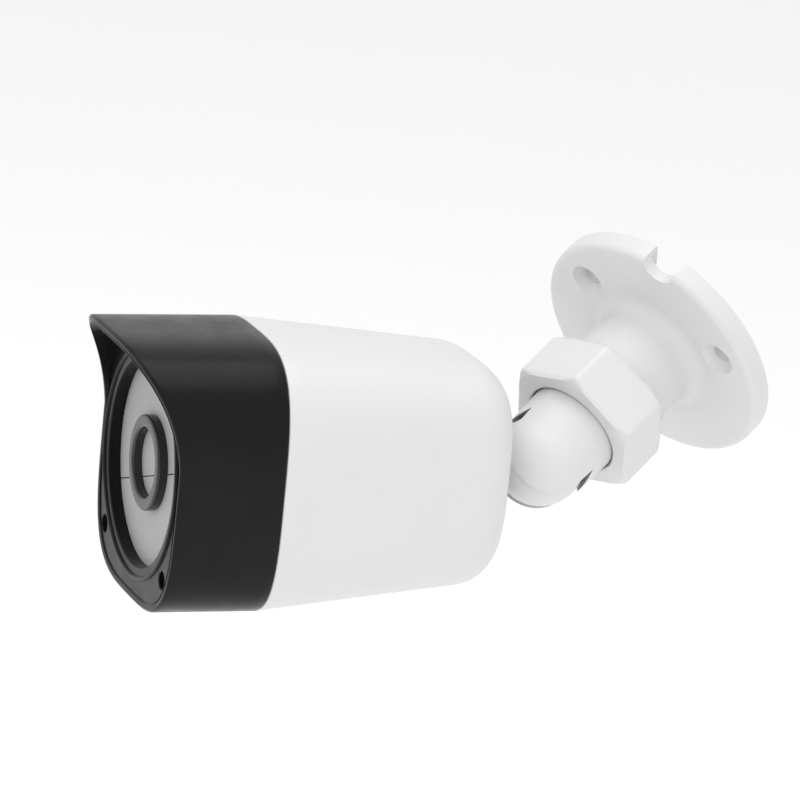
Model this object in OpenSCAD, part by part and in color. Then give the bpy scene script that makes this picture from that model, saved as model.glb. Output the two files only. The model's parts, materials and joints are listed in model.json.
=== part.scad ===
// Bullet security camera on a wall bracket that pans, tilts and lets the camera turn about its own axis.
// The camera looks along -Y, +Z is up, and the origin is the centre of the bracket's wall face.

/* [Camera body] */
// Width of the body at the hood
body_w = 57; // [56:0.5:72]
// Height of the body at the hood
body_h = 62; // [60:0.5:78]
// Squareness of the body's section: 2 is an ellipse, larger is boxier
body_power = 3.4; // [3:0.1:5]
// Length of the white shell, from its rear face to the hood's edge
shell_len = 58; // [50:1:80]
// Size of the shell's rear end as a share of its front end
shell_taper = 0.81; // [0.78:0.01:0.95]
// Rounding of the shell's rear edge
rear_round = 10; // [6:0.5:11]
// Wall of the shell and the hood
wall = 2.2; // [1.8:0.1:2.6]

/* [Hood] */
// Length of the hood, from its rear edge to its front face
hood_len = 24; // [20:0.5:36]
// How far the visor stands out over the front face
visor_len = 10.5; // [6:0.5:14]
// Wall of the visor
visor_wall = 1.8; // [1.4:0.1:2.2]
// Distance of the hood screws from the body's sides
screw_in_w = 7.3; // [7:0.1:8]
// Distance of the hood screws from the body's underside
screw_in_h = 10.4; // [9.5:0.1:11]
// Diameter of the screw holes in the front face
screw_hole_d = 4; // [3.6:0.1:4.4]

/* [Window] */
// Diameter of the window that shows
window_d = 46.6; // [40:0.2:47]
// Depth of the window behind the front face
window_depth = 2.9; // [2:0.1:4]
// Thickness of the window panels
window_t = 2; // [1.5:0.1:3]
// Height of the seam between the window panels, from the lens axis
seam_rise = -3.1; // [-5:0.1:5]
// Slope of the seam
seam_slope = 18; // [-20:1:20]
// Outer diameter of the raised ring round the lens
ring_od = 21.4; // [20:0.2:26]
// Inner diameter of the raised ring
ring_id = 15.6; // [12:0.2:17]
// Height of the raised ring
ring_h = 2.3; // [1:0.1:3]

/* [Bracket] */
// Diameter of the wall plate
plate_d = 60; // [58:0.5:80]
// Thickness of the wall plate
plate_t = 5.5; // [4.5:0.5:8]
// Diameter of the circle that the wall screws lie on
hole_pcd = 43; // [42:0.5:50]
// Diameter of the wall screw holes
hole_d = 4.5; // [3.5:0.1:5]
// Diameter of the wall screws' countersinks
sink_d = 8.6; // [7:0.1:9]
// Diameter of the neck
neck_d = 25.4; // [25:0.2:26]
// Distance from the front of the wall plate to the tilt pin
stalk_len = 41.5; // [40:0.5:60]
// Hexagon of the lock nut, across its flats
nut_af = 31.2; // [30:0.2:36]
// Length of the lock nut
nut_len = 14; // [13:0.5:16]
// Diameter of the knuckle's round end
knuckle_d = 22; // [21.6:0.1:22.4]
// Thickness of the arm's tongue
tongue_t = 9.8; // [8:0.2:11]
// Distance from the tilt pin to the camera's rear face
rear_gap = 13.4; // [13:0.1:20]

/* [Resting pose] */
// Turn of the stalk to the side, away from the camera's axis
stalk_side = 26.8; // [10:0.1:40]
// Drop of the stalk below the level
stalk_drop = 31.9; // [10:0.1:40]

/* [Hidden] */
$fn = 96;
eps = 0.01;

// Clearances
run_gap = 0.05;      // radial clearance of a shaft that turns in a bore
move_gap = 0.35;     // clearance between pieces that move past each other
lap_gap = 0.15;      // clearance between the shell's spigot and the hood
seat_gap = 0.1;      // clearance of a piece that drops into a seat

// Places along the camera's axis, counted forwards from the tilt pin
z_rear = rear_gap;
z_edge = z_rear + shell_len;
z_face = z_edge + hood_len;
z_tip = z_face + visor_len;
section_n = 48;

// The visor's edge sweeps forwards with this power of the height
visor_power = 2.2;

// Lap joint between shell and hood
lap_len = 6;
lap_wall = 1.6;
lap_in = wall + lap_gap;
lap_root = 4;
seal_t = 1.2;
ledge_t = 1.5;

// Window and carrier
window_lip = 1.7;
seam_gap = 0.25;
gasket_t = 0.8;
carrier_t = 2;
z_window = z_face - window_depth;
z_bezel_back = z_window - window_t;
z_carrier = z_bezel_back - gasket_t - carrier_t;
window_r = window_d / 2;
seat_r = window_r + window_lip;
ridge_r = window_r + 2.4;
ridge_t = 0.55;

// Hood screws and carrier screws
hood_screw_xy = [body_w / 2 - screw_in_w, -(body_h / 2 - screw_in_h)];
hood_head_sink = 3.4;
hood_head_r = screw_hole_d / 2 - seat_gap;
hood_head_h = 1.8;
hood_shank_r = 1.1;
hood_bite = 9;
hood_post_r = 3.2;
carrier_screw_r = 0.9;
carrier_head_r = 1.9;
carrier_head_h = 1.3;
carrier_bite = 3.2;
carrier_screw_xy = (seat_r + 2.6) / sqrt(2);

// Circuit boards
board_t = 1.6;
post_r = 2.6;
post_xy = 16;
sensor_w = 40;
power_w = 38;
lens_len = 23;
led_gap = 6.4;
z_led = z_bezel_back - led_gap - board_t;
z_sensor = z_bezel_back - lens_len - board_t;
board_gap = 16.4;
z_power = z_sensor - board_gap - board_t;
led_board_r = post_xy * sqrt(2) - post_r - move_gap;
led_count = 8;
led_r = 2.5;
led_h = 5;
led_ring_r = led_board_r - led_r - 1.4;
lamp_hole_r = led_ring_r + led_r + 0.8;
led_post_xy = 11.3;
led_post_r = 2.2;
led_screw_r = 0.75;
stud_r = 1.2;
stud_bite = 6;
hex_r = 2.9;

// Lens
barrel_r = 6;
barrel_head_r = 7.2;
barrel_bore_r = 4.4;
holder_w = 15;
holder_wall = 1.6;
holder_base = 4.6;
chip_w = 9;
chip_t = 1.2;
filter_t = 0.5;
shroud_r = 7.5;
shroud_t = 1.5;

// Stalk: distances counted from the wall along the stalk's axis
pin_h = plate_t + stalk_len;
nut_front = 11.5;
nut_lip = 2;
flange_t = 2;
neck_washer_t = 1;
thread_r = neck_d / 2 + 0.6;
nut_r = nut_af / sqrt(3);
nut_turn = 9;
h_nut_front = pin_h - nut_front;
h_nut_rear = h_nut_front - nut_len;
h_lip = h_nut_front - nut_lip;
h_flange = h_lip - run_gap - flange_t;
h_thread = h_flange - 2 * run_gap - neck_washer_t;
knuckle_r = knuckle_d / 2;
knuckle_root_r = knuckle_r + 0.5;
flange_r = thread_r - move_gap;
spigot_r = 8;
spigot_len = 8;
neck_bore_r = 7;
flare_r = 4.2;
edge_round = 1.6;
hole_turn = 10;
notch_turn = 68;
notch_r = 4.2;
channel_w = 8;
channel_t = 2.6;
channel_start = 8;

// Tilt joint and arm
slot_r = knuckle_r + 0.2;
tongue_r = knuckle_r - 0.6;
tilt_r = 2;
tilt_head_r = 3.4;
tilt_head_h = 2;
tilt_head_in = 2.6;
insert_r = 2.8;
insert_len = 4.2;
stem_r = 5.4;
collar_r = 6.6;
collar_t = 1.8;
shaft_r = 4;
bush_r = 5.4;
bush_flange_r = 6.6;
bush_flange_t = 1;
boss_t = 2;
arm_washer_t = 1;
arm_screw_r = 2;
arm_bite = 9;
gland_r = 3;
gland_flange_r = 3.7;
gland_out = 1.2;
gland_in = 1.5;
gland_lift = 0.3;
cable_r = 2.3;
gland_drop = knuckle_r + cable_r + 0.1; // far enough out for a cable to run straight back past the knuckle

// Directions: the stalk's axis from the wall to the pin, the tilt pin's axis, and the turns that follow
stalk_dir = [
    cos(stalk_drop) * sin(stalk_side),
    -cos(stalk_drop) * cos(stalk_side),
    -sin(stalk_drop),
];
pin_raw = [-stalk_dir[2], 0, stalk_dir[0]];
pin_dir = pin_raw / norm(pin_raw);
side_dir = [cos(stalk_side), sin(stalk_side), 0];
rise_dir = cross(stalk_dir, side_dir);
knuckle_turn = atan2(pin_dir * rise_dir, pin_dir * side_dir);
arm_roll = atan2(pin_dir[2], pin_dir[0]);
pin_c = pin_h * stalk_dir;

// ---------- Frames ----------

// Stalk frame: z runs from the wall towards the tilt pin
module on_stalk() rotate([90 + stalk_drop, 0, stalk_side]) children();

// Camera frame: origin at the tilt pin, x to the right, y up, z forwards
module on_camera() translate(pin_c) rotate([90, 0, 0]) children();

// Knuckle frame: origin at the tilt pin, z along the stalk, x along the pin
module on_knuckle() on_stalk() translate([0, 0, pin_h]) rotate([0, 0, knuckle_turn]) children();

// Arm frame: origin at the tilt pin, z along the camera's axis, x along the pin
module on_arm() on_camera() rotate([0, 0, arm_roll]) children();

// ---------- Shapes used more than once ----------

// Size of the shell at a place along the axis, as a share of its size at the hood
function size_at(z) = shell_taper + (1 - shell_taper) * (z - z_rear) / shell_len;

// Points of the body's section: a superellipse
function section_points(half_w, half_h) = [
    for (i = [0 : section_n - 1])
        let (
            a = 360 * i / section_n,
            reach = pow(abs(cos(a)) / half_w, body_power) + pow(abs(sin(a)) / half_h, body_power)
        )
        pow(reach, -1 / body_power) * [cos(a), sin(a)]
];

module section(size, inset) {
    polygon(section_points(size * body_w / 2 - inset, size * body_h / 2 - inset));
}

module slab(z, t, size = 1, inset = 0) translate([0, 0, z]) linear_extrude(t) section(size, inset);

module rod(z, h, r) translate([0, 0, z]) cylinder(h = h, r = r);

module tube(z, h, r, hole_r) {
    difference() {
        rod(z, h, r);
        rod(z - 1, h + 2, hole_r);
    }
}

module at_corners(xy) for (x = [-xy, xy], y = [-xy, xy]) translate([x, y, 0]) children();

module at_hood_screws() for (x = [-1, 1]) translate([x * hood_screw_xy[0], hood_screw_xy[1], 0]) children();

module at_carrier_screws() {
    for (x = [-1, 1]) translate([x * carrier_screw_xy, carrier_screw_xy, 0]) children();
}

module board(z, w) translate([-w / 2, -w / 2, z]) cube([w, w, board_t]);

// Solid form of the tapered shell with its rounded rear edge
module shell_form(inset, z_from, z_to) {
    turn = rear_round - inset;
    hull() {
        for (a = [0 : 22.5 : 90]) {
            z = z_from + turn * (1 - sin(a));
            slab(z, eps, size_at(z), inset + turn * (1 - cos(a)));
        }
        slab(z_to - eps, eps, size_at(z_to), inset);
    }
}

// ---------- Bracket: wall plate, neck, nut ----------

module base_plate() {
    plate_r = plate_d / 2;
    neck_r = neck_d / 2;
    flare = [for (a = [0 : 10 : 90]) [neck_r + flare_r * (1 - sin(a)), plate_t + flare_r * (1 - cos(a))]];
    rim = [for (a = [0 : 15 : 90]) [plate_r - edge_round * (1 - cos(a)), plate_t - edge_round * (1 - sin(a))]];
    profile = concat([[0, 0], [plate_r - 0.4, 0], [plate_r, 0.4]], rim, flare,
        [[neck_r, h_nut_rear - move_gap], [thread_r, h_nut_rear], [thread_r, h_thread], [0, h_thread]]);
    color("white") on_stalk() difference() {
        rotate_extrude() polygon(profile);
        rod(plate_t, h_thread, neck_bore_r);
        rod(h_flange - spigot_len - 1, spigot_len + 2, spigot_r + run_gap);
        for (k = [0 : 2]) rotate([0, 0, hole_turn + 120 * k]) translate([hole_pcd / 2, 0, 0]) {
            rod(-1, plate_t + 2, hole_d / 2);
            translate([0, 0, plate_t - (sink_d - hole_d) / 2])
                cylinder(h = (sink_d - hole_d) / 2 + eps, r1 = hole_d / 2, r2 = sink_d / 2 + eps);
            rod(plate_t, flare_r, sink_d / 2);
        }
        rotate([0, 0, notch_turn]) {
            translate([plate_r, 0, 0]) rod(-1, plate_t + 2, notch_r);
            translate([channel_start, -channel_w / 2, -1]) cube([plate_r, channel_w, channel_t + 1]);
        }
    }
}

module neck_washer() {
    color("silver") on_stalk() tube(h_thread, neck_washer_t, flange_r, spigot_r + move_gap);
}

module lock_nut() {
    crown = 1.6;
    edge = nut_r - crown;
    color("white") on_stalk() rotate([0, 0, nut_turn]) difference() {
        intersection() {
            translate([0, 0, h_nut_rear]) cylinder(h = nut_len, r = nut_r, $fn = 6);
            rotate_extrude() polygon([
                [0, h_nut_rear], [edge, h_nut_rear], [nut_r, h_nut_rear + crown],
                [nut_r, h_nut_front - crown], [edge, h_nut_front], [0, h_nut_front],
            ]);
        }
        rod(h_nut_rear - 1, nut_len - nut_lip + 1, thread_r + run_gap);
        rod(h_lip - 1, nut_lip + 2, knuckle_root_r + move_gap);
    }
}

// ---------- Knuckle and tilt joint ----------

module knuckle() {
    cheek = tongue_t / 2 + move_gap;
    foot = h_flange - pin_h;
    dome = [for (a = [90 : -5 : 0]) knuckle_r * [cos(a), sin(a)]];
    color("white") on_knuckle() difference() {
        rotate_extrude() polygon(concat([[0, foot - spigot_len]], dome, [
            [knuckle_root_r, foot + flange_t], [flange_r, foot + flange_t], [flange_r, foot],
            [spigot_r, foot], [spigot_r, foot - spigot_len],
        ]));
        translate([-cheek, -2 * knuckle_r, 0]) cube([2 * cheek, 4 * knuckle_r, 2 * knuckle_r]);
        rotate([0, 90, 0]) rod(-cheek, 2 * cheek, slot_r);
        rotate([0, 90, 0]) rod(-2 * knuckle_r, 2 * knuckle_r, tilt_r + run_gap);
        rotate([0, 90, 0]) rod(-2 * knuckle_r, knuckle_r + tilt_head_in, tilt_head_r + seat_gap);
        rotate([0, 90, 0]) rod(0, cheek + insert_len, insert_r);
    }
}

module tilt_screw() {
    head = -knuckle_r + tilt_head_in;
    color("silver") on_knuckle() rotate([0, 90, 0]) difference() {
        union() {
            rod(head - tilt_head_h, tilt_head_h, tilt_head_r);
            rod(head - eps, knuckle_r - tilt_head_in + tongue_t / 2 + move_gap + insert_len, tilt_r);
        }
        for (a = [0, 90]) rotate([0, 0, a]) translate([-2, -0.5, head - tilt_head_h - 1]) cube([4, 1, 2]);
    }
}

module tilt_insert() {
    start = tongue_t / 2 + move_gap;
    color("goldenrod") on_knuckle() rotate([0, 90, 0]) tube(start, insert_len, insert_r, tilt_r);
}

module tilt_washers() {
    t = move_gap - run_gap;
    color("ivory") on_knuckle() rotate([0, 90, 0]) {
        tube(tongue_t / 2 + run_gap, t, insert_r + 2, tilt_r + run_gap);
        tube(-tongue_t / 2 - move_gap, t, insert_r + 2, tilt_r + run_gap);
    }
}

// ---------- Arm that carries the camera ----------

module swivel_arm() {
    z_collar = z_rear - run_gap - collar_t;
    z_end = z_rear + wall + boss_t + bush_flange_t + run_gap;
    color("white") on_arm() difference() {
        union() {
            intersection() {
                rotate([0, 90, 0]) rod(-tongue_t / 2, tongue_t, 2 * tongue_r);
                sphere(r = tongue_r);
            }
            intersection() {
                rod(0, z_collar, stem_r);
                translate([-tongue_t / 2, -stem_r, 0]) cube([tongue_t, 2 * stem_r, z_collar]);
            }
            rod(z_collar, collar_t, collar_r);
            rod(z_collar, z_end - z_collar, shaft_r);
        }
        rotate([0, 90, 0]) rod(-tongue_t, 2 * tongue_t, tilt_r + run_gap);
        rod(z_end - arm_bite, arm_bite + 1, arm_screw_r);
        tube(z_rear - run_gap - 0.9, 2, collar_r - 0.5, shaft_r + 0.5);
    }
}

module arm_seal() {
    mid = (collar_r + shaft_r) / 2;
    color("black") on_arm() rotate_extrude() translate([mid, z_rear - 0.5]) circle(r = 0.44);
}

module arm_washer() {
    z = z_rear + wall + boss_t + bush_flange_t + run_gap;
    color("silver") on_arm() tube(z, arm_washer_t, bush_flange_r, arm_screw_r + seat_gap);
}

module arm_screw() {
    z = z_rear + wall + boss_t + bush_flange_t + run_gap + arm_washer_t;
    color("silver") on_arm() difference() {
        union() {
            rod(z, 2.2, 3.6);
            rod(z - arm_bite + 1, arm_bite, arm_screw_r);
        }
        for (a = [0, 90]) rotate([0, 0, a]) translate([-2, -0.5, z + 1.2]) cube([4, 1, 2]);
    }
}

// ---------- Camera shell ----------

module body_shell() {
    color("white") on_camera() difference() {
        union() {
            shell_tube();
            screw_bosses();
        }
        at_hood_screws() rod(z_edge - lap_root - 1, lap_root + lap_len + 2, hood_shank_r);
    }
}

// The shell without its screw bosses: the tapered tube, the spigot and the boss round the bush
module shell_tube() {
    difference() {
        union() {
            difference() {
                shell_form(0, z_rear, z_edge);
                shell_form(wall, z_rear + wall, z_edge - lap_root);
            }
            slab(z_edge - lap_root - eps, lap_root + lap_len + eps, 1, lap_in);
            rod(z_rear + wall - eps, boss_t + eps, bush_r + 1.2);
        }
        slab(z_edge - lap_root - 1, lap_root + lap_len + 2, 1, lap_in + lap_wall);
        rod(z_rear - 1, wall + boss_t + 2, bush_r);
        translate([0, -gland_drop, 0]) rod(z_rear - 1, wall + 2, gland_r);
    }
}

// Bosses inside the shell's mouth that take the hood screws
module screw_bosses() {
    z = z_sensor + board_t + move_gap;
    intersection() {
        at_hood_screws() rod(z, z_edge + lap_len - z, hood_post_r);
        slab(z, z_edge + lap_len - z, 1, lap_in + eps);
    }
}

module spin_bush() {
    color("goldenrod") on_camera() union() {
        tube(z_rear, wall + boss_t, bush_r, shaft_r + run_gap);
        tube(z_rear + wall + boss_t, bush_flange_t, bush_flange_r, shaft_r + run_gap);
    }
}

module cable_gland() {
    color("dimgray") on_camera() translate([0, -gland_drop, 0]) difference() {
        union() {
            rod(z_rear - gland_out, gland_out, gland_flange_r);
            rod(z_rear - eps, wall + gland_lift + 2 * eps, gland_r);
            rod(z_rear + wall + gland_lift, gland_in, gland_flange_r);
        }
        rod(z_rear - gland_out - 1, gland_out + wall + gland_lift + gland_in + 2, cable_r);
    }
}

module hood_seal() {
    color("black") on_camera() difference() {
        slab(z_edge + lap_len, seal_t, 1, lap_in);
        slab(z_edge + lap_len - 1, seal_t + 2, 1, lap_in + lap_wall);
        at_hood_screws() rod(z_edge, hood_len, hood_post_r + seat_gap);
    }
}

// ---------- Hood ----------

// What is cut away in front of the visor's edge, drawn from the side: height against distance forwards
module visor_cut() {
    top = body_h / 2;
    edge = [for (k = [0 : 0.1 : 1]) [top * k, z_face + visor_len * pow(k, visor_power)]];
    outline = concat([[-2 * top, z_face]], edge, [[2 * top, z_tip], [2 * top, 2 * z_tip], [-2 * top, 2 * z_tip]]);
    rotate([90, 0, 90]) translate([0, 0, -body_w]) linear_extrude(2 * body_w) polygon(outline);
}

module front_hood() {
    color("#1b1b1d") on_camera() difference() {
        union() {
            difference() {
                slab(z_edge, hood_len + visor_len);
                slab(z_edge - 1, z_bezel_back - z_edge + 1, 1, wall);
                slab(z_face, visor_len + 1, 1, visor_wall);
                visor_cut();
            }
            hood_ledge();
            hood_posts();
            rotate_extrude() translate([ridge_r, z_face]) circle(r = ridge_t);
        }
        rod(z_window - 1, z_tip, window_r);
        rod(z_bezel_back - 1, window_t + 1, seat_r + seat_gap);
        at_hood_screws() {
            rod(z_edge, hood_len + 1, hood_shank_r + seat_gap);
            rod(z_face - hood_head_sink, hood_head_sink + 1, screw_hole_d / 2);
        }
        at_carrier_screws() rod(z_bezel_back - 1, carrier_bite + 1, carrier_screw_r);
    }
}

// Ledge inside the hood that the seal presses on
module hood_ledge() {
    z = z_edge + lap_len + seal_t;
    difference() {
        slab(z, ledge_t, 1, wall - eps);
        slab(z - 1, ledge_t + 2, 1, lap_in + lap_wall);
    }
}

// Posts behind the front face that the hood screws pass through
module hood_posts() {
    intersection() {
        at_hood_screws() rod(z_edge + lap_len + eps, z_bezel_back - z_edge - lap_len, hood_post_r);
        slab(z_edge, hood_len, 1, wall - eps);
    }
}

module hood_screws() {
    z_seat = z_face - hood_head_sink;
    z_end = z_edge + lap_len - hood_bite;
    color("silver") on_camera() at_hood_screws() difference() {
        union() {
            rod(z_seat, hood_head_h, hood_head_r);
            rod(z_end, z_seat - z_end + eps, hood_shank_r);
        }
        for (a = [0, 90]) rotate([0, 0, a]) translate([-1.3, -0.3, z_seat + 1]) cube([2.6, 0.6, 2]);
    }
}

// ---------- Window ----------

// Half of the round window: side is 1 above the seam and -1 below it
module window_half(side) {
    span = 4 * seat_r;
    intersection() {
        rod(z_bezel_back, window_t, seat_r);
        translate([0, seam_rise, 0]) rotate([0, 0, seam_slope])
            translate([-span / 2, side > 0 ? seam_gap / 2 : -seam_gap / 2 - span, z_bezel_back - 1])
                cube([span, span, window_t + 2]);
    }
}

module window_upper() {
    color("#9c9c9e") on_camera() window_half(1);
}

module window_lower() {
    color("#9c9c9e") on_camera() window_half(-1);
}

module window_gasket() {
    color("black") on_camera() tube(z_bezel_back - gasket_t, gasket_t, seat_r, window_r - 1);
}

module lens_ring() {
    soft = 0.7;
    mid = (ring_od + ring_id) / 4;
    half = (ring_od - ring_id) / 4;
    color("#1b1b1d") on_camera() rotate_extrude() {
        translate([mid - half, z_window]) square([2 * half, ring_h - soft]);
        translate([mid - half + soft, z_window]) square([2 * (half - soft), ring_h]);
        for (x = [-1, 1]) translate([mid + x * (half - soft), z_window + ring_h - soft]) circle(r = soft);
    }
}

// ---------- Carrier behind the window ----------

module carrier_frame() {
    color("dimgray") on_camera() difference() {
        union() {
            difference() {
                slab(z_carrier, carrier_t, 1, lap_in + lap_wall + seat_gap);
                rod(z_carrier - 1, carrier_t + 2, lamp_hole_r);
            }
            at_corners(post_xy) rod(z_sensor + board_t, z_carrier + carrier_t - z_sensor - board_t, post_r);
        }
        at_hood_screws() rod(z_carrier - 1, carrier_t + 2, hood_post_r + move_gap);
        at_carrier_screws() rod(z_carrier - 1, carrier_t + 2, carrier_screw_r + seat_gap);
        at_corners(post_xy) rod(z_sensor, board_t + stud_bite + 1, stud_r);
    }
}

module carrier_screws() {
    color("silver") on_camera() at_carrier_screws() {
        rod(z_carrier - carrier_head_h, carrier_head_h, carrier_head_r);
        rod(z_carrier - eps, carrier_t + gasket_t + carrier_bite, carrier_screw_r);
    }
}

module lens_shroud() {
    color("black") on_camera() tube(z_led + board_t, led_gap, shroud_r + shroud_t, shroud_r);
}

// ---------- Infrared lamp board ----------

module led_board() {
    color("darkgreen") on_camera() difference() {
        rod(z_led, board_t, led_board_r);
        rod(z_led - 1, board_t + 2, barrel_head_r + move_gap);
        at_corners(led_post_xy) rod(z_led - 1, board_t + 2, led_screw_r + seat_gap);
    }
}

module ir_leds() {
    z = z_led + board_t;
    color("lavender") on_camera() for (k = [0 : led_count - 1]) {
        rotate([0, 0, 360 * (k + 0.5) / led_count]) translate([led_ring_r, 0, 0]) {
            rod(z, 0.8, led_r + 0.3);
            rod(z + 0.8 - eps, led_h - 0.8 - led_r, led_r);
            intersection() {
                translate([0, 0, z + led_h - led_r]) sphere(r = led_r);
                rod(z + led_h - led_r - eps, led_r + 1, led_r);
            }
        }
    }
}

module light_sensor() {
    color("orange") on_camera() translate([0, -led_ring_r, 0]) rod(z_led + board_t, 3, 1.6);
}

module led_spacers() {
    z = z_sensor + board_t;
    color("goldenrod") on_camera() at_corners(led_post_xy) difference() {
        union() {
            translate([0, 0, z]) cylinder(h = z_led - z, r = led_post_r, $fn = 6);
            rod(z_sensor, board_t + eps, led_screw_r);
        }
        rod(z_led - 5, 6, led_screw_r);
    }
}

module led_screws() {
    color("silver") on_camera() at_corners(led_post_xy) {
        rod(z_led + board_t, 1, 1.5);
        rod(z_led - 4, board_t + 4 + eps, led_screw_r);
    }
}

// ---------- Lens and image sensor ----------

module lens_barrel() {
    z_from = z_sensor + board_t + holder_base + 2;
    z_to = z_led + board_t + 2.6;
    color("#202022") on_camera() difference() {
        union() {
            rod(z_from, z_to - z_from, barrel_r - run_gap);
            rod(z_led - 1, z_to - z_led + 1, barrel_head_r);
        }
        rod(z_from - 1, z_to - z_from + 2, barrel_bore_r);
        rod(z_to - 1.6, 2, barrel_bore_r + 1);
    }
}

module lens_glass() {
    z_from = z_sensor + board_t + holder_base + 2;
    z_to = z_led + board_t + 2.6;
    front_r = barrel_bore_r + 1;
    color("lightsteelblue") on_camera() {
        intersection() {
            rod(z_to - 1.6, 4, front_r);
            translate([0, 0, z_to + 1.4 - 2 * front_r]) sphere(r = 2 * front_r);
        }
        rod(z_from + 1, 1.8, barrel_bore_r);
    }
}

module lens_holder() {
    z = z_sensor + board_t;
    color("#202022") on_camera() difference() {
        union() {
            translate([-holder_w / 2, -holder_w / 2, z]) cube([holder_w, holder_w, holder_base]);
            rod(z + holder_base - eps, 7, barrel_r + holder_wall);
        }
        translate([-chip_w / 2 - 0.5, -chip_w / 2 - 0.5, z - 1]) cube([chip_w + 1, chip_w + 1, 1 + chip_t + 0.8]);
        rod(z - 1, holder_base + 9, barrel_r - 2);
        translate([-chip_w / 2, -chip_w / 2, z + chip_t + 0.7]) cube([chip_w, chip_w, 0.2 + filter_t]);
        rod(z + holder_base, 8, barrel_r);
    }
}

module ir_filter() {
    z = z_sensor + board_t + chip_t + 0.8;
    color("lightcyan") on_camera() translate([-chip_w / 2 + 0.2, -chip_w / 2 + 0.2, z])
        cube([chip_w - 0.4, chip_w - 0.4, filter_t]);
}

module image_sensor() {
    color("darkslategray") on_camera() translate([-chip_w / 2, -chip_w / 2, z_sensor + board_t])
        cube([chip_w, chip_w, chip_t]);
}

module sensor_board() {
    color("darkgreen") on_camera() difference() {
        board(z_sensor, sensor_w);
        at_corners(post_xy) rod(z_sensor - 1, board_t + 2, stud_r + seat_gap);
        at_corners(led_post_xy) rod(z_sensor - 1, board_t + 2, led_screw_r + seat_gap);
    }
}

module sensor_chips() {
    color("#2a2a2c") on_camera() {
        translate([-14, -5, z_sensor + board_t]) cube([4, 10, 1]);
        translate([-6, -7, z_sensor - 1]) cube([12, 12, 1]);
        translate([-14, -6, z_sensor - 0.9]) cube([6, 6, 0.9]);
    }
}

// ---------- Rear boards ----------

module board_spacers() {
    z = z_power + board_t;
    color("goldenrod") on_camera() at_corners(post_xy) difference() {
        union() {
            translate([0, 0, z]) cylinder(h = board_gap, r = hex_r, $fn = 6);
            rod(z_sensor - eps, board_t + stud_bite, stud_r);
        }
        rod(z - 1, stud_bite + 1, stud_r);
    }
}

module board_link() {
    color("ivory") on_camera() translate([-9, 10, z_power + board_t]) cube([18, 5, board_gap]);
}

module power_board() {
    color("darkgreen") on_camera() difference() {
        board(z_power, power_w);
        at_corners(post_xy) rod(z_power - 1, board_t + 2, stud_r + seat_gap);
    }
}

module power_parts() {
    color("slategray") on_camera() {
        translate([-8, 7, 0]) rod(z_power - 11, 11, 4);
        translate([8, 7, 0]) rod(z_power - 6, 6, 4.5);
        translate([-13, -8, z_power - 1.4]) cube([7, 7, 1.4]);
        translate([-6, -4, z_power + board_t]) cube([9, 9, 1.2]);
        translate([6, -9, z_power + board_t]) cube([6, 6, 1.2]);
    }
}

module cable_socket() {
    depth = 7;
    color("ivory") on_camera() difference() {
        translate([-5, -15, z_power - depth]) cube([14, 6.5, depth]);
        for (k = [0 : 3]) translate([-3.9 + 3.2 * k, -13.6, z_power - depth - 1]) cube([2.2, 3.7, 6]);
    }
}

module board_screws() {
    color("silver") on_camera() at_corners(post_xy) {
        rod(z_power - 1.6, 1.6, 2.3);
        rod(z_power - eps, board_t + stud_bite - 1, stud_r);
    }
}

base_plate();
neck_washer();
lock_nut();
knuckle();
tilt_screw();
tilt_insert();
tilt_washers();
swivel_arm();
arm_seal();
arm_washer();
arm_screw();
body_shell();
spin_bush();
cable_gland();
hood_seal();
front_hood();
hood_screws();
window_upper();
window_lower();
window_gasket();
lens_ring();
carrier_frame();
carrier_screws();
lens_shroud();
led_board();
ir_leds();
light_sensor();
led_spacers();
led_screws();
lens_barrel();
lens_glass();
lens_holder();
ir_filter();
image_sensor();
sensor_board();
sensor_chips();
board_spacers();
board_link();
power_board();
power_parts();
cable_socket();
board_screws();
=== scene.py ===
# %% [markdown]
# # A bullet security camera on its wall bracket
#
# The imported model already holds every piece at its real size, and it says how the pieces move.
# This script gives them their looks. It keeps the machine-made small parts as they are, with better
# materials, and makes the moulded outer parts again as smooth surfaces, because a moulded part has
# soft edges and curves that a construction model leaves out.
#
# Lengths are in millimetres while a shape is worked out, and in metres once it is a mesh.

# %% Load the frame
import json
import math

import bpy
import numpy as np
from mathutils import Matrix, Vector


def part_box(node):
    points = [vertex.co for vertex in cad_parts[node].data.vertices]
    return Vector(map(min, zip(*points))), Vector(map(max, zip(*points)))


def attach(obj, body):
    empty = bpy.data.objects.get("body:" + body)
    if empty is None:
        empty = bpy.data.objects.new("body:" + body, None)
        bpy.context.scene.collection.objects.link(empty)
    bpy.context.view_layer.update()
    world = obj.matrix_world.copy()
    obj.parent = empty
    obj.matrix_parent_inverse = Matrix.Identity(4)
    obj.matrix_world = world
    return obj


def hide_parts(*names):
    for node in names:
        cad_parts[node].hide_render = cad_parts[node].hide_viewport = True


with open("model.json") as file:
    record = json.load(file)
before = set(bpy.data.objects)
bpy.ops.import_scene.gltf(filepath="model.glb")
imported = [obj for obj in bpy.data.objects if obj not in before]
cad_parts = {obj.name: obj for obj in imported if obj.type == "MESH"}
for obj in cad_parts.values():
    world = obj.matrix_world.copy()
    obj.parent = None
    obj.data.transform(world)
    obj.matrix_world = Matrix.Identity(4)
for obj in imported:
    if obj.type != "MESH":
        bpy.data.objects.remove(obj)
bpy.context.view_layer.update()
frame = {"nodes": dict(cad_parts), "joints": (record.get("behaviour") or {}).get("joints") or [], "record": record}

# %% [markdown]
# ## The three frames that the shapes are drawn in
#
# The camera is drawn along its own axis: x to the right, y up, z forwards, from the tilt pin.
# The bracket is drawn along its stalk: z from the wall to the tilt pin, from the wall plate's centre.
# The arm and the knuckle share the pin, so each has a frame whose x runs along the pin.
# Each frame is a small matrix. The joints in the record say where the axes are, so nothing is guessed.

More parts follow.
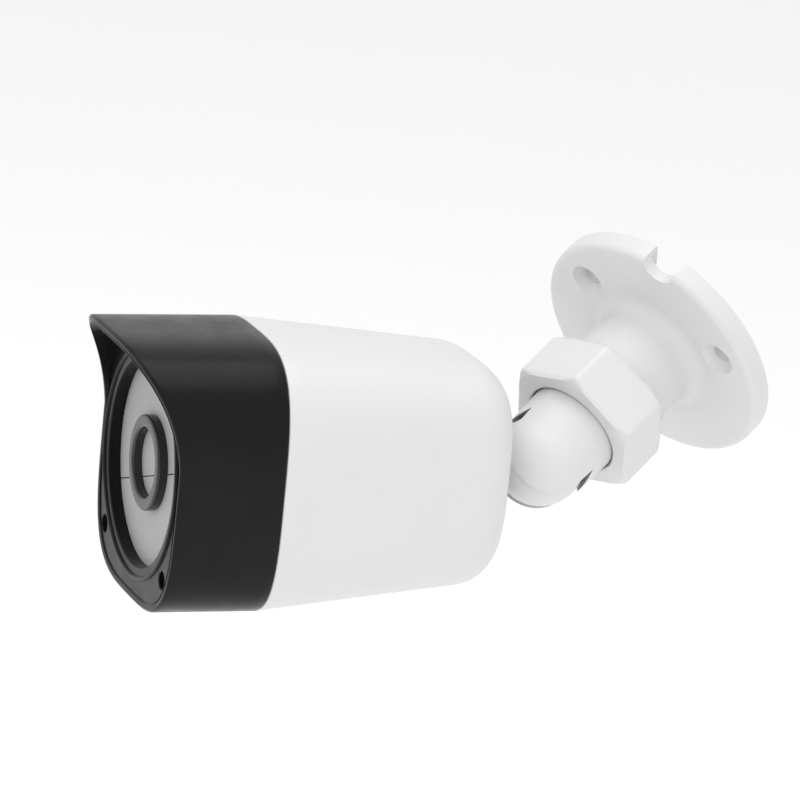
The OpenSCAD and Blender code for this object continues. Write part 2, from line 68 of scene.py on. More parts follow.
# %% Frames
MM = 0.001
joints = {j["name"]: j for j in frame["joints"]}
pin = np.array(joints["tilt"]["pos_m"]) / MM
stalk = np.array(joints["pan"]["axis"], float)
pin_axis = np.array(joints["tilt"]["axis"], float)
ahead = np.array(joints["spin"]["axis"], float)


def axes(x, z):
    """Columns are the frame's x, y and z directions; y is z cross x."""
    z = z / np.linalg.norm(z)
    x = x - z * (x @ z)
    x = x / np.linalg.norm(x)
    return np.column_stack([x, np.cross(z, x), z])


wall_side = np.cross([0.0, 0.0, 1.0], stalk)
CAMERA = (axes(np.array([1.0, 0.0, 0.0]), ahead), pin)
STALK = (axes(wall_side, stalk), np.zeros(3))
KNUCKLE = (axes(pin_axis, stalk), pin)
ARM = (axes(pin_axis, ahead), pin)
PIN = (axes(stalk, pin_axis), pin)
print("camera axis", ahead, "stalk axis", np.round(stalk, 3), "pin at", np.round(pin, 1))


def place(points, where):
    """Turns points from a frame into the object's own frame, in metres."""
    turn, origin = where
    return (points @ turn.T + origin) * MM


# %% [markdown]
# ## Sizes
#
# The driving sizes of the moulded parts. What the frame can tell is read from it: the ends of the
# shell and the hood, the window's front and the pin's place. The rest are wall thicknesses and radii.

# %% Sizes
def along(node):
    """Lowest and highest place of a node along the camera's axis, in millimetres from the pin."""
    low, high = (np.array(v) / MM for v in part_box(node))
    return pin[1] - high[1], pin[1] - low[1]


def half_size(node):
    """Half the width and half the height of a node, in millimetres."""
    low, high = (np.array(v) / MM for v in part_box(node))
    return (high[0] - low[0]) / 2, (high[2] - low[2]) / 2


Z_REAR = along("body_shell")[0]
Z_EDGE, Z_TIP = along("front_hood")
Z_WINDOW = along("window_upper")[1]
HALF_W, HALF_H = half_size("front_hood")
POWER = 3.4
WINDOW_DEPTH = 2.9
WINDOW_R = 23.3
WINDOW_T = 2.0
Z_FACE = Z_WINDOW + WINDOW_DEPTH
VISOR = Z_TIP - Z_FACE
VISOR_POWER = 2.2
WALL = 2.2
VISOR_WALL = 1.8
TAPER = 0.81
REAR_ROUND = 10.0
LAP = 6.0
AROUND = 240
print("hood from", round(Z_EDGE, 2), "to", round(Z_TIP, 2), "face at", round(Z_FACE, 2))
print("section", round(2 * HALF_W, 2), "by", round(2 * HALF_H, 2))

# %% [markdown]
# ## Surfaces on a grid
#
# Every moulded part here is a stack of closed rings: a ring is a curve of one parameter, and the
# stack is the second one. A box model with a subdivision surface would also do, but its corners
# drift when the size changes, and a stack of rings keeps each radius where it was put.
# The rings of a hollow part run out along the outside and back along the inside, so the last ring
# joins the first one and the mesh is closed. A solid of revolution ends in two poles instead.


# %% Grid helpers
def make_object(name, verts, faces, body):
    """A mesh object at the origin from an array of points in metres and a list of faces, on a body."""
    mesh = bpy.data.meshes.new(name)
    mesh.from_pydata(verts.tolist(), [], faces)
    mesh.update()
    piece = bpy.data.objects.new(name, mesh)
    bpy.context.scene.collection.objects.link(piece)
    if body:
        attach(piece, body)
    return piece


def ring_faces(rings, count, loop):
    """Quads between neighbouring rings of count points; with loop, the last ring joins the first."""
    last = rings if loop else rings - 1
    row, col = np.meshgrid(np.arange(last), np.arange(count), indexing="ij")
    below = (row + 1) % rings
    right = (col + 1) % count
    upper = [row * count + col, row * count + right]
    lower = [below * count + right, below * count + col]
    quads = np.stack(upper + lower, -1)
    return quads.reshape(-1, 4)


def settle(piece, angle=35.0):
    """Merges doubles, points every face outwards and shades smoothly except at edges over the angle."""
    bpy.context.view_layer.objects.active = piece
    for other in bpy.context.selected_objects:
        other.select_set(False)
    piece.select_set(True)
    bpy.ops.object.mode_set(mode="EDIT")
    bpy.ops.mesh.select_all(action="SELECT")
    bpy.ops.mesh.remove_doubles(threshold=0.000002)
    bpy.ops.mesh.dissolve_degenerate(threshold=0.000001)
    bpy.ops.mesh.normals_make_consistent(inside=False)
    bpy.ops.object.mode_set(mode="OBJECT")
    bpy.ops.object.shade_smooth_by_angle(angle=math.radians(angle))
    print(piece.name, "has", len(piece.data.polygons), "faces")
    return piece


def ring_stack(name, rings, where, body, loop=True):
    """A part from rings of equal length, each an array of points in the frame where, in millimetres."""
    count = len(rings[0])
    verts = place(np.concatenate(rings), where)
    faces = ring_faces(len(rings), count, loop).tolist()
    if not loop:
        faces.append(list(range(count))[::-1])
        faces.append([(len(rings) - 1) * count + k for k in range(count)])
    return make_object(name, verts, faces, body)


def circle(radius, z, count=AROUND, shift=(0.0, 0.0)):
    """Points at radius times (cos a, sin a), at height z, counted round from x."""
    a = np.linspace(0, 2 * np.pi, count, endpoint=False)
    return np.column_stack([radius * np.cos(a) + shift[0], radius * np.sin(a) + shift[1], np.full(count, z)])


def revolve(name, profile, where, body, loop=True, count=AROUND, shift=(0.0, 0.0)):
    """A solid of revolution about z: each profile point (radius, height) becomes one circle."""
    return ring_stack(name, [circle(r, z, count, shift) for r, z in profile], where, body, loop)


def arc(centre, radius, start, end, steps=8):
    """Profile points on a circle about centre, from start to end degrees."""
    t = np.radians(np.linspace(start, end, steps + 1))
    return [(centre[0] + radius * math.cos(a), centre[1] + radius * math.sin(a)) for a in t]


def cut(piece, cutter, how="DIFFERENCE"):
    """Cuts, joins or keeps the common part of two closed meshes, and removes the second one."""
    step = piece.modifiers.new("cut", "BOOLEAN")
    step.object = cutter
    step.operation = how
    step.solver = "EXACT"
    bpy.context.view_layer.objects.active = piece
    bpy.ops.object.modifier_apply(modifier=step.name)
    bpy.data.objects.remove(cutter)


def soften(piece, width, angle=32.0, segments=3):
    """Rounds the edges that are sharper than the angle, in millimetres."""
    step = piece.modifiers.new("soften", "BEVEL")
    step.width = width * MM
    step.segments = segments
    step.angle_limit = math.radians(angle)
    step.limit_method = "ANGLE"
    step.harden_normals = False
    step.use_clamp_overlap = True
    bpy.context.view_layer.objects.active = piece
    bpy.ops.object.modifier_apply(modifier=step.name)


# %% [markdown]
# ## Finishes
#
# Moulded plastic looks flat in a render when it has one colour and one roughness. A real moulding
# has the texture of its steel mould, a faint cloudiness in its gloss and tiny marks from handling.
# So each plastic mixes two close shades with a slow noise, varies its roughness with a second one,
# and takes its fine texture from a bump of a third. All three read Object coordinates.


# %% Node helpers
def new_material(name):
    """An empty node material: returns it with its tree and its Principled shader."""
    mat = bpy.data.materials.new(name)
    mat.use_nodes = True
    return mat, mat.node_tree, mat.node_tree.nodes["Principled BSDF"]


def noise(tree, scale, detail=3.0, rough=0.55):
    """A noise texture on Object coordinates; scale is in waves per metre."""
    coords = tree.nodes.new("ShaderNodeTexCoord")
    node = tree.nodes.new("ShaderNodeTexNoise")
    node.inputs["Scale"].default_value = scale
    node.inputs["Detail"].default_value = detail
    node.inputs["Roughness"].default_value = rough
    tree.links.new(coords.outputs["Object"], node.inputs["Vector"])
    return node.outputs["Fac"]


def spread(tree, value, low, high, start=0.3, end=0.7):
    """Maps a texture value from start..end to low..high."""
    node = tree.nodes.new("ShaderNodeMapRange")
    for key, number in (("From Min", start), ("From Max", end), ("To Min", low), ("To Max", high)):
        node.inputs[key].default_value = number
    tree.links.new(value, node.inputs["Value"])
    return node.outputs["Result"]


def two_tone(tree, value, one, other):
    """Blends two colours by a value."""
    node = tree.nodes.new("ShaderNodeMix")
    node.data_type = "RGBA"
    node.inputs["A"].default_value = (*one, 1)
    node.inputs["B"].default_value = (*other, 1)
    tree.links.new(value, node.inputs["Factor"])
    return node.outputs["Result"]


def bump(tree, shader, value, depth, strength=1.0):
    """Raises the surface by a value, depth in millimetres."""
    node = tree.nodes.new("ShaderNodeBump")
    node.inputs["Strength"].default_value = strength
    node.inputs["Distance"].default_value = depth * MM
    tree.links.new(value, node.inputs["Height"])
    tree.links.new(node.outputs["Normal"], shader.inputs["Normal"])


# %% [markdown]
# ## One recipe for each kind of material
#
# Three recipes cover every piece: moulded plastic, plated or turned metal, and clear glass or epoxy.
# A separate material written out for each piece would also work, but pieces of one kind would then
# drift apart. A recipe with a few numbers keeps them alike, and a finish is one line in a table.

# %% Plastic, rubber, metal, board and glass
def plastic(name, one, other, rough, grain=2600.0, depth=0.02, gloss=0.5):
    """Moulded plastic: two shades one and other, a roughness range, and the mould's fine texture."""
    mat, tree, shader = new_material(name)
    cloud = spread(tree, noise(tree, 45.0, 4.0), 0.0, 1.0)
    tree.links.new(two_tone(tree, cloud, one, other), shader.inputs["Base Color"])
    tree.links.new(spread(tree, noise(tree, 160.0, 5.0), *rough), shader.inputs["Roughness"])
    bump(tree, shader, noise(tree, grain, 2.0), depth, 0.35)
    shader.inputs["Specular IOR Level"].default_value = gloss
    return mat


def metal(name, colour, rough, grain=900.0):
    """Plated or turned metal: fine streaks in the roughness, and a trace of dull spots."""
    mat, tree, shader = new_material(name)
    shade = [0.8 * c for c in colour]
    spots = spread(tree, noise(tree, 300.0), 0, 1)
    tree.links.new(two_tone(tree, spots, colour, shade), shader.inputs["Base Color"])
    tree.links.new(spread(tree, noise(tree, grain, 4.0), *rough), shader.inputs["Roughness"])
    bump(tree, shader, noise(tree, grain, 2.0), 0.01, 0.3)
    shader.inputs["Metallic"].default_value = 1.0
    return mat


def clear(name, colour, rough, see=0.9):
    """Coated glass or clear epoxy, with a faint smear in its polish."""
    mat, tree, shader = new_material(name)
    shade = [0.85 * c for c in colour]
    smear = spread(tree, noise(tree, 120.0), 0, 1)
    tree.links.new(two_tone(tree, smear, colour, shade), shader.inputs["Base Color"])
    tree.links.new(spread(tree, noise(tree, 200.0), rough, rough + 0.05), shader.inputs["Roughness"])
    shader.inputs["Transmission Weight"].default_value = see
    shader.inputs["IOR"].default_value = 1.5
    return mat


FINISH = {
    "white_plastic": plastic(
        "white_plastic", (0.61, 0.61, 0.613), (0.595, 0.595, 0.599),
        (0.34, 0.46), 2400.0, 0.012,
    ),
    "black_plastic": plastic(
        "black_plastic", (0.003, 0.003, 0.0032), (0.005, 0.005, 0.0052),
        (0.25, 0.35), 2600.0, 0.012, 0.18,
    ),
    "grey_window": plastic(
        "grey_window", (0.335, 0.335, 0.34), (0.365, 0.365, 0.37),
        (0.42, 0.55), 3600.0, 0.008, 0.4,
    ),
    "ring_plastic": plastic(
        "ring_plastic", (0.010, 0.010, 0.011), (0.015, 0.015, 0.016),
        (0.20, 0.28), 3000.0, 0.006,
    ),
    "rubber": plastic("rubber", (0.02, 0.02, 0.02), (0.035, 0.035, 0.035), (0.6, 0.8), 1800.0, 0.03, 0.3),
    "nylon": plastic("nylon", (0.72, 0.69, 0.6), (0.66, 0.63, 0.54), (0.45, 0.6)),
    "circuit_board": plastic(
        "circuit_board", (0.01, 0.12, 0.05), (0.015, 0.17, 0.07),
        (0.25, 0.4), 1500.0, 0.02,
    ),
    "chip": plastic("chip", (0.03, 0.03, 0.032), (0.045, 0.045, 0.047), (0.5, 0.65), 3000.0, 0.02),
    "steel": metal("steel", (0.6, 0.6, 0.62), (0.25, 0.42)),
    "brass": metal("brass", (0.75, 0.56, 0.27), (0.22, 0.38)),
    "lamp": clear("lamp", (0.75, 0.72, 0.85), 0.05, 0.7),
    "lens": clear("lens", (0.8, 0.85, 0.95), 0.02, 0.95),
}
print(len(FINISH), "finishes")


def dress(piece, slot):
    """Gives a piece the finish of one of the record's slots."""
    piece.data.materials.clear()
    piece.data.materials.append(FINISH[slot])


for entry in frame["record"]["subparts"]:
    obj = frame["nodes"][entry["node"]]
    for k in range(max(1, len(obj.data.materials))):
        if len(obj.data.materials) <= k:
            obj.data.materials.append(None)
        obj.data.materials[k] = FINISH[entry["material_slot"]]


# %% [markdown]
# ## The body's section
#
# The camera isn't round: its section is a squared oval, a superellipse. Its radius at each angle
# follows |cos/w|^p + |sin/h|^p = r^-p. With p = 2 this is an ellipse, and with a larger p it gets
# boxier. One formula gives the shell, the hood and both of their inner walls, each with its own inset.


# %% Section
def section(size, inset, z):
    """A ring of the body: half sizes are size times the full ones, less the inset; z may vary."""
    a = np.linspace(0, 2 * np.pi, AROUND, endpoint=False)
    half_w = size * HALF_W - inset
    half_h = size * HALF_H - inset
    reach = (np.abs(np.cos(a)) / half_w) ** POWER + (np.abs(np.sin(a)) / half_h) ** POWER
    r = reach ** (-1 / POWER)
    return np.column_stack([r * np.cos(a), r * np.sin(a), np.full(AROUND, 1.0) * z])


def size_at(z):
    """The shell's size at a place along the axis, as a share of its size at the hood."""
    return TAPER + (1 - TAPER) * (z - Z_REAR) / (Z_EDGE - Z_REAR)


# %% [markdown]
# ## White shell
#
# A tapered tube with one end rounded over. It is hollow on the real camera, so the rings go from the
# spigot under the hood, out over the visible skin, round the rear edge and back along the inside.
# The front edge stops a hair short of the hood and is slightly rounded, which gives the thin dark
# line that two mouldings always show where they meet.

# %% Shell
HAIRLINE = 0.12
EDGE = 0.35
BUSH_R = 5.4
BOSS = 2.0
LAP_IN = WALL + 0.15
LAP_WALL = 1.6


def shell_rings():
    """The closed run of rings: spigot, outside, rear face, bore for the bush, inside."""
    front = Z_EDGE - HAIRLINE
    rings = [section(1, LAP_IN, Z_EDGE + LAP), section(1, LAP_IN, front)]
    for t in np.radians(np.linspace(90, 0, 5)):
        rings.append(section(1, EDGE * (1 - math.cos(t)), front - EDGE * (1 - math.sin(t))))
    for z in np.linspace(front - EDGE, Z_REAR + REAR_ROUND, 14)[1:]:
        rings.append(section(size_at(z), 0, z))
    for t in np.radians(np.linspace(0, 90, 19)[1:]):
        z = Z_REAR + REAR_ROUND * (1 - math.sin(t))
        rings.append(section(size_at(z), REAR_ROUND * (1 - math.cos(t)), z))
    inner = Z_REAR + WALL
    rings += [circle(BUSH_R, Z_REAR), circle(BUSH_R, inner + BOSS), circle(BUSH_R + 1.2, inner + BOSS)]
    rings.append(circle(BUSH_R + 1.2, inner))
    turn = REAR_ROUND - WALL
    for t in np.radians(np.linspace(90, 0, 7)):
        z = inner + turn * (1 - math.sin(t))
        rings.append(section(size_at(z), WALL + turn * (1 - math.cos(t)), z))
    rings.append(section(1, WALL, Z_EDGE - 4.0))
    rings.append(section(1, LAP_IN + LAP_WALL, Z_EDGE - 4.0))
    rings.append(section(1, LAP_IN + LAP_WALL, Z_EDGE + LAP))
    return rings


shell = ring_stack("shell_skin", shell_rings(), CAMERA, "camera")
settle(shell)
GLAND_DROP = 13.4
GLAND_R = 3.0
gland_bore = [(GLAND_R, Z_REAR - 1), (GLAND_R, Z_REAR + 4)]
cut(shell, revolve("cutter", gland_bore, CAMERA, None, False, 64, (0, -GLAND_DROP)))
settle(shell)
dress(shell, "white_plastic")
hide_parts("body_shell")

# %% [markdown]
# ## Black hood
#
# The hood is a sleeve with a face across it. The visor is only the sleeve's own edge, which sweeps
# forwards with the height: z = face + visor * (y / top)^2.2 above the axis. Each ring of the edge
# takes its z from that formula, so the visor, its rounded lip and its inside come out together.
# The face turns from the squared outline to a circle between two rings, and then has a low ridge,
# a rounded bore edge and a bore down to the window.

# %% Hood
LIP = 0.7
RIM = 0.3
RIDGE_R = WINDOW_R + 2.4
RIDGE_T = 0.55
SEAT_R = WINDOW_R + 1.8
Z_BACK = Z_WINDOW - WINDOW_T


def edge_z(y):
    """The visor's edge at a height y: the face, plus the visor's sweep above the axis."""
    lift = np.clip(y / HALF_H, 0, 1) ** VISOR_POWER
    return Z_FACE + np.maximum(VISOR * lift, RIM)


def hood_rings():
    """The closed run of rings: outside, lip, visor's inside, face, ridge, bore, seat, inside."""
    outer = section(1, 0, 0)
    rim = edge_z(outer[:, 1])
    rings = [section(1, WALL, Z_EDGE), section(1, EDGE, Z_EDGE), section(1, 0.1, Z_EDGE + 0.1)]
    rings.append(section(1, 0, Z_EDGE + EDGE))
    for share in np.linspace(0.1, 0.9, 8):
        rings.append(section(1, 0, Z_EDGE + share * (rim - LIP - Z_EDGE)))
    for t in np.radians(np.linspace(0, 90, 7)):
        rings.append(section(1, LIP * (1 - math.cos(t)), rim - LIP * (1 - math.sin(t))))
    soft = 0.25
    for t in np.radians(np.linspace(90, 0, 4)):
        inset = VISOR_WALL - soft * (1 - math.sin(t))
        rings.append(section(1, inset, rim - soft * (1 - math.cos(t)) * 0.8))
    rings.append(section(1, VISOR_WALL, Z_FACE))
    for r, z in arc((RIDGE_R, Z_FACE), RIDGE_T, 0, 180, 10):
        rings.append(circle(r, z))
    bore_edge = 0.35
    for r, z in arc((WINDOW_R + bore_edge, Z_FACE - bore_edge), bore_edge, 90, 180, 5):
        rings.append(circle(r, z))
    rings += [circle(WINDOW_R, Z_WINDOW), circle(SEAT_R, Z_WINDOW), circle(SEAT_R, Z_BACK)]
    rings.append(section(1, WALL, Z_BACK))
    return rings


hood = ring_stack("hood_skin", hood_rings(), CAMERA, "camera")
settle(hood)
SCREW_X = HALF_W - 7.3
SCREW_Y = -(HALF_H - 10.4)
SCREW_R = 2.0
for side in (-1, 1):
    at = (side * SCREW_X, SCREW_Y)
    sink_r = SCREW_R + 0.2
    head = [(SCREW_R, Z_FACE - 3.4), (SCREW_R, Z_FACE - 0.2), (sink_r, Z_FACE), (sink_r, Z_FACE + 3)]
    cut(hood, revolve("cutter", head, CAMERA, None, False, 64, at))
    cut(hood, revolve("cutter", [(1.2, Z_BACK - 1), (1.2, Z_FACE)], CAMERA, None, False, 48, at))
settle(hood)
dress(hood, "black_plastic")
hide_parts("front_hood")

# %% [markdown]
# ## Ring round the lens
#
# A raised ring with rounded edges: one closed profile turned about the lens axis.

# %% Lens ring
RING_OUT = half_size("lens_ring")[0]
RING_IN = RING_OUT - 2.9
RING_TOP = along("lens_ring")[1]
RING_SOFT = 0.65


def ring_profile():
    """Down the outside from the rounded top, across the foot, and up the inside."""
    low = Z_WINDOW
    inner = arc((RING_IN + RING_SOFT, RING_TOP - RING_SOFT), RING_SOFT, 180, 90)
    outer = arc((RING_OUT - RING_SOFT, RING_TOP - RING_SOFT), RING_SOFT, 90, 0)
    return [(RING_IN, low)] + inner + outer + [(RING_OUT, low)]


ring = settle(revolve("ring_trim", ring_profile(), CAMERA, "camera"))
dress(ring, "ring_plastic")
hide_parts("lens_ring")

# %% [markdown]
# ## Wall plate and neck
#
# The plate and the neck are one moulding. It is turned from a profile with a rounded rim and a
# hollow fillet where the neck grows out of the plate. The screw holes, the notch for the cable and
# the channel behind the plate are cut from it, and the cut edges are then slightly rounded.

# %% Wall plate
PLATE_R = 30.0
PLATE_T = 5.5
NECK_R = 12.7
FLARE = 4.2
THREAD_R = NECK_R + 0.6
PIN_H = float(np.linalg.norm(pin))
NUT_FRONT = PIN_H - 11.5
NUT_REAR = NUT_FRONT - 14.0
NUT_LIP = NUT_FRONT - 2.0
NECK_END = NUT_LIP - 0.05 - 2.0 - 0.1 - 1.0
RIM_ROUND = 1.6
HOLE_PCD = 43.0
HOLE_R = 2.25
SINK_R = 4.3
HOLE_TURN = 10.0
NOTCH_TURN = 68.0
NOTCH_R = 4.2
CHANNEL_START = 8.0
CHANNEL_W = 8.0
CHANNEL_T = 2.6
CHANNEL_PAST = 8.0


def turned(degrees, radius):
    """A place on the plate: radius from its centre, at an angle from the stalk frame's x."""
    a = math.radians(degrees)
    return radius * math.cos(a), radius * math.sin(a)


def plate_profile():
    """From the wall face's centre out over the rim, in to the neck and up to its end."""
    rim = arc((PLATE_R - RIM_ROUND, PLATE_T - RIM_ROUND), RIM_ROUND, 0, 90)
    flare = arc((NECK_R + FLARE, PLATE_T + FLARE), FLARE, 270, 180, 12)
    foot = [(0.02, 0), (PLATE_R - 0.4, 0), (PLATE_R, 0.4)]
    neck = [(NECK_R, NUT_REAR - 0.35), (THREAD_R, NUT_REAR), (THREAD_R, NECK_END)]
    return foot + rim + flare + neck + [(7.0, NECK_END), (7.0, PLATE_T), (0.02, PLATE_T)]


def channel_cutter():
    """A square groove in the wall face: from near the centre out past the rim, in the notch's direction."""
    a = math.radians(NOTCH_TURN)
    outwards = np.array([math.cos(a), math.sin(a)])
    sideways = np.array([-math.sin(a), math.cos(a)])
    half = CHANNEL_W / 2
    end = PLATE_R + CHANNEL_PAST
    box = [(CHANNEL_START, -half), (end, -half), (end, half), (CHANNEL_START, half)]
    outline = np.array([r * outwards + t * sideways for r, t in box])
    rings = [np.column_stack([outline, np.full(len(outline), z)]) for z in (-1.0, CHANNEL_T)]
    return settle(ring_stack("cutter", rings, STALK, None, False))


plate = revolve("plate_and_neck", plate_profile(), STALK, "bracket", False)
settle(plate)
for k in range(3):
    at = turned(HOLE_TURN + 120 * k, HOLE_PCD / 2)
    sink = PLATE_T - (SINK_R - HOLE_R)
    hole = [(HOLE_R, -1), (HOLE_R, sink), (SINK_R, PLATE_T), (SINK_R, PLATE_T + FLARE)]
    cut(plate, revolve("cutter", hole, STALK, None, False, 72, at))
notch = [(NOTCH_R, -1), (NOTCH_R, PLATE_T + 1)]
cut(plate, revolve("cutter", notch, STALK, None, False, 72, turned(NOTCH_TURN, PLATE_R)))
cut(plate, channel_cutter())
soften(plate, 0.3, 40)
settle(plate)
dress(plate, "white_plastic")
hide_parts("base_plate")

# %% [markdown]
# ## Lock nut
#
# A moulded hexagon with rounded corners. Its outline takes the largest of the six distances to its
# flats, but as a soft maximum (a high power mean), which rounds the corners. Towards both ends
# the outline shrinks to a circle, as on any nut, so the flats end in shallow curves.

# %% Lock nut
NUT_FLAT = 15.6
NUT_TURN = 9.0
CORNER_POWER = 46.0
KNUCKLE_ROOT = 11.5


def hexagon(shrink, z, cap=1e9):
    """Radius = flat / (mean over six flats of max(0, cos)^p)^(1/p), less shrink, and never over cap."""
    a = np.linspace(0, 2 * np.pi, AROUND, endpoint=False)
    normals = math.radians(NUT_TURN + 30) + np.arange(6) * math.pi / 3
    facing = np.maximum(np.cos(a[:, None] - normals[None, :]), 0)
    r = NUT_FLAT / (facing**CORNER_POWER).sum(1) ** (1 / CORNER_POWER)
    r = np.minimum(r, cap) - shrink
    return np.column_stack([r * np.cos(a), r * np.sin(a), np.full(AROUND, z)])


def nut_rings():
    """The closed run of rings: bore, rear face, flats, front face, mouth and thread."""
    crown = 1.6
    soft = 0.5
    corner = NUT_FLAT / math.cos(math.pi / 6)
    thread = THREAD_R + 0.05
    mouth = KNUCKLE_ROOT + 0.35
    rings = [circle(thread, NUT_REAR)]
    for t in np.linspace(0, 1, 6):
        rings.append(hexagon(soft * (1 - t) ** 2, NUT_REAR + crown * t, corner - crown * (1 - t) ** 1.5))
    for z in np.linspace(NUT_REAR + crown, NUT_FRONT - crown, 6)[1:-1]:
        rings.append(hexagon(0, z))
    for t in np.linspace(1, 0, 6):
        rings.append(hexagon(soft * (1 - t) ** 2, NUT_FRONT - crown * t, corner - crown * (1 - t) ** 1.5))
    rings += [circle(mouth + 0.3, NUT_FRONT), circle(mouth, NUT_FRONT - 0.3), circle(mouth, NUT_LIP)]
    rings.append(circle(thread, NUT_LIP))
    return rings


nut = settle(ring_stack("nut_skin", nut_rings(), STALK, "nut"))
dress(nut, "white_plastic")
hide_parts("lock_nut")

# %% [markdown]
# ## Knuckle
#
# A dome on a short, slightly wider root. A slot for the arm's tongue is cut right through it, with a
# round floor about the pin. The pin is a screw: its head sits in a counterbore on the far side,
# and the near side is closed.

# %% Knuckle
KNUCKLE_R = 11.0
TONGUE = 9.8
SLOT = TONGUE / 2 + 0.35
SLOT_R = KNUCKLE_R + 0.2
FOOT = NUT_LIP - 0.05 - 2.0 - PIN_H
FLANGE_R = THREAD_R - 0.35


def knuckle_profile():
    """Up from the spigot's end past the flange and the root, and over the dome."""
    low = [(0.02, FOOT - 8), (8, FOOT - 8), (8, FOOT), (FLANGE_R, FOOT), (FLANGE_R, FOOT + 2)]
    return low + [(KNUCKLE_ROOT, FOOT + 2)] + arc((0, 0), KNUCKLE_R, 0, 89.9, 60)


def slot_cutter():
    """The slot seen along the pin: straight sides above the pin, and a round floor below it."""
    floor = arc((0, 0), SLOT_R, 180, 360, 48)
    outline = np.array([(-SLOT_R, 30.0)] + floor + [(SLOT_R, 30.0)])
    across, up = outline.T
    rings = [np.column_stack([np.full(len(outline), x), across, up]) for x in (-SLOT, SLOT)]
    return settle(ring_stack("cutter", rings, KNUCKLE, None, False))


knuckle = settle(revolve("knuckle_skin", knuckle_profile(), KNUCKLE, "swivel", False))
cut(knuckle, slot_cutter())
cut(knuckle, revolve("cutter", [(3.5, -22), (3.5, -8.4)], PIN, None, False, 72))
cut(knuckle, revolve("cutter", [(2.05, -10), (2.05, 0)], PIN, None, False, 64))
cut(knuckle, revolve("cutter", [(2.8, 4), (2.8, SLOT + 4.2)], PIN, None, False, 64))
soften(knuckle, 0.35)
settle(knuckle)
dress(knuckle, "white_plastic")
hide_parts("knuckle")

# %% [markdown]
# ## Arm
#
# The tongue is a slice of a ball, so its edge follows the dome round the slot at every tilt. A short
# stem joins it to a collar, which bears on the camera's rear face, and a shaft runs on into the shell.

# %% Arm
TONGUE_R = KNUCKLE_R - 0.6
STEM_R = 5.4
COLLAR_R = 6.6
COLLAR_T = 1.8
SHAFT_R = 4.0
SHAFT_END = along("swivel_arm")[1]


def tongue_profile():
    """A slice of a ball about the pin, with its flat sides at plus and minus half the thickness."""
    half = TONGUE / 2
    a = math.degrees(math.asin(half / TONGUE_R))
    return [(0.02, -half)] + arc((0, 0), TONGUE_R, -a, a, 24) + [(0.02, half)]


def stem_profile():
    """Stem, collar and shaft, from inside the tongue to the shaft's end."""
    face = Z_REAR - 0.05
    back = face - COLLAR_T
    chamfer = 0.3
    stem_r = STEM_R - 0.6
    stem = [(0.02, 0), (stem_r, 0), (stem_r, back)]
    collar = [(COLLAR_R - chamfer, back), (COLLAR_R, back + chamfer), (COLLAR_R, face)]
    return stem + collar + [(SHAFT_R, face), (SHAFT_R, SHAFT_END), (0.02, SHAFT_END)]


arm = settle(revolve("arm_skin", tongue_profile(), PIN, "arm", False))
cut(arm, settle(revolve("cutter", stem_profile(), ARM, None, False, 96)), "UNION")
cut(arm, revolve("cutter", [(2.05, -10), (2.05, 10)], PIN, None, False, 64))
soften(arm, 0.3, 40)
settle(arm)
dress(arm, "white_plastic")
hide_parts("swivel_arm")

# %% [markdown]
# ## Camera, light and floor
#
# The view is from the camera's left front, a little above, with a long lens. The light is a studio's:
# a large soft panel overhead, a broad one from the viewer's side, and a pale room all round.
# The floor and the room are almost white, so the white plastic is set off by its own shading only.

# %% View
AZIMUTH = 68.631
ELEVATION = 14.577
ROLL = 5.715
DISTANCE = 1.21639
AIM = Vector((0.00652, -0.07154, -0.00658))
FOCAL = 242.183
SHIFT = (0.02185, -0.03832)


def look_from(azimuth, elevation, roll, distance, aim):
    """A camera pose: azimuth 0 looks along +Y, and roll turns the camera clockwise about its view."""
    a = math.radians(azimuth)
    e = math.radians(elevation)
    back = Vector((math.sin(a) * math.cos(e), -math.cos(a) * math.cos(e), math.sin(e)))
    right = Vector((0, 0, 1)).cross(back).normalized()
    up = back.cross(right)
    c, s = math.cos(math.radians(roll)), math.sin(math.radians(roll))
    right, up = c * right + s * up, c * up - s * right
    pose = Matrix((right, up, back)).transposed().to_4x4()
    pose.translation = aim + distance * back
    return pose


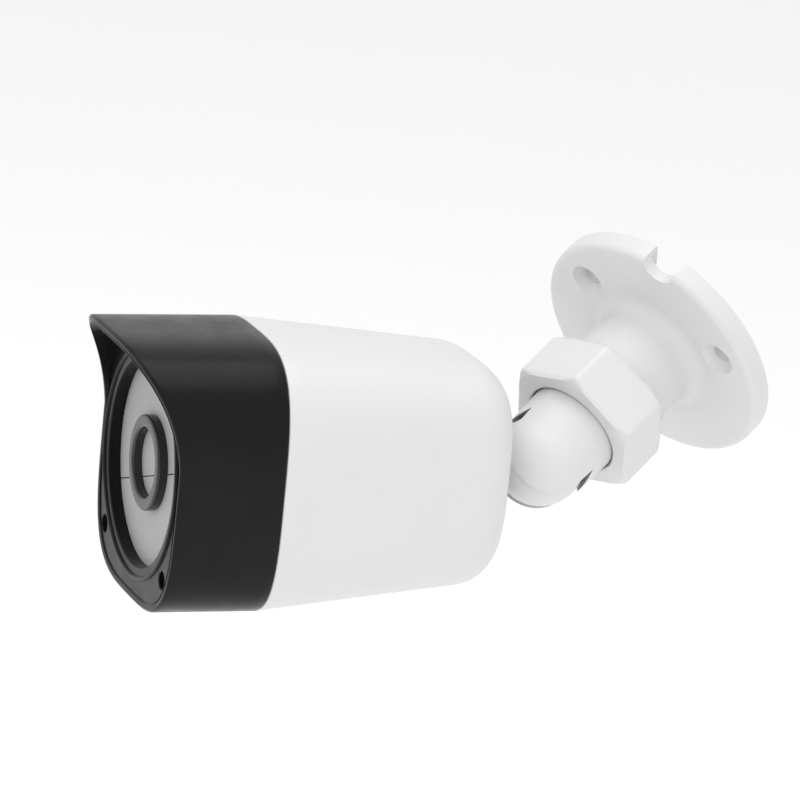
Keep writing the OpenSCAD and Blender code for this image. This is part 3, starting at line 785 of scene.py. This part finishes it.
lens = bpy.data.cameras.new("view")
lens.lens = FOCAL
lens.sensor_width = 36.0
lens.shift_x = SHIFT[0]
lens.shift_y = SHIFT[1]
lens.clip_start = 0.05
view = bpy.data.objects.new("view", lens)
view.matrix_world = look_from(AZIMUTH, ELEVATION, ROLL, DISTANCE, AIM)
bpy.context.scene.collection.objects.link(view)
bpy.context.scene.camera = view
print("view from", [round(v, 3) for v in view.matrix_world.translation])


# %% [markdown]
# ## Soft panels and a plain floor
#
# Three square panels light the object, and a pale world fills the shadows. One small lamp would give
# hard shadows that hide the shape of a black hood. The panel on the viewer's side isn't reflected in
# glossy surfaces, because its reflection would turn the hood's black side grey.

# %% Light and floor
def panel(name, place_at, size, power, aim=(0.0, -0.08, -0.02)):
    """A square soft panel at a place, turned towards the object."""
    light = bpy.data.lights.new(name, "AREA")
    light.size = size
    light.energy = power
    obj = bpy.data.objects.new(name, light)
    way = Vector(place_at) - Vector(aim)
    obj.matrix_world = Matrix.Translation(place_at) @ way.to_track_quat("Z", "Y").to_matrix().to_4x4()
    bpy.context.scene.collection.objects.link(obj)
    return obj


panel("overhead", (0.1, -0.1, 1.0), 1.0, 5.0)
viewer_side = panel("viewer_side", (1.1, -0.2, 0.45), 0.7, 3.2)
viewer_side.visible_glossy = False
panel("front_left", (-0.3, -1.2, 0.3), 0.6, 1.9)

world = bpy.data.worlds.new("studio")
world.use_nodes = True
world.node_tree.nodes["Background"].inputs["Color"].default_value = (1, 1, 1, 1)
world.node_tree.nodes["Background"].inputs["Strength"].default_value = 0.9
bpy.context.scene.world = world
bpy.context.scene.view_settings.view_transform = "Standard"

floor_z = -0.30
floor_size = 6.0
corners = np.array([(-1, -1, 0), (1, -1, 0), (1, 1, 0), (-1, 1, 0)], float) * floor_size + (0, 0, floor_z)
floor = make_object("floor", corners, [[0, 1, 2, 3]], None)
paper = plastic("floor_paper", (0.975, 0.975, 0.975), (0.972, 0.972, 0.972), (0.85, 0.9), 300.0, 0.01, 0.1)
floor.data.materials.append(paper)
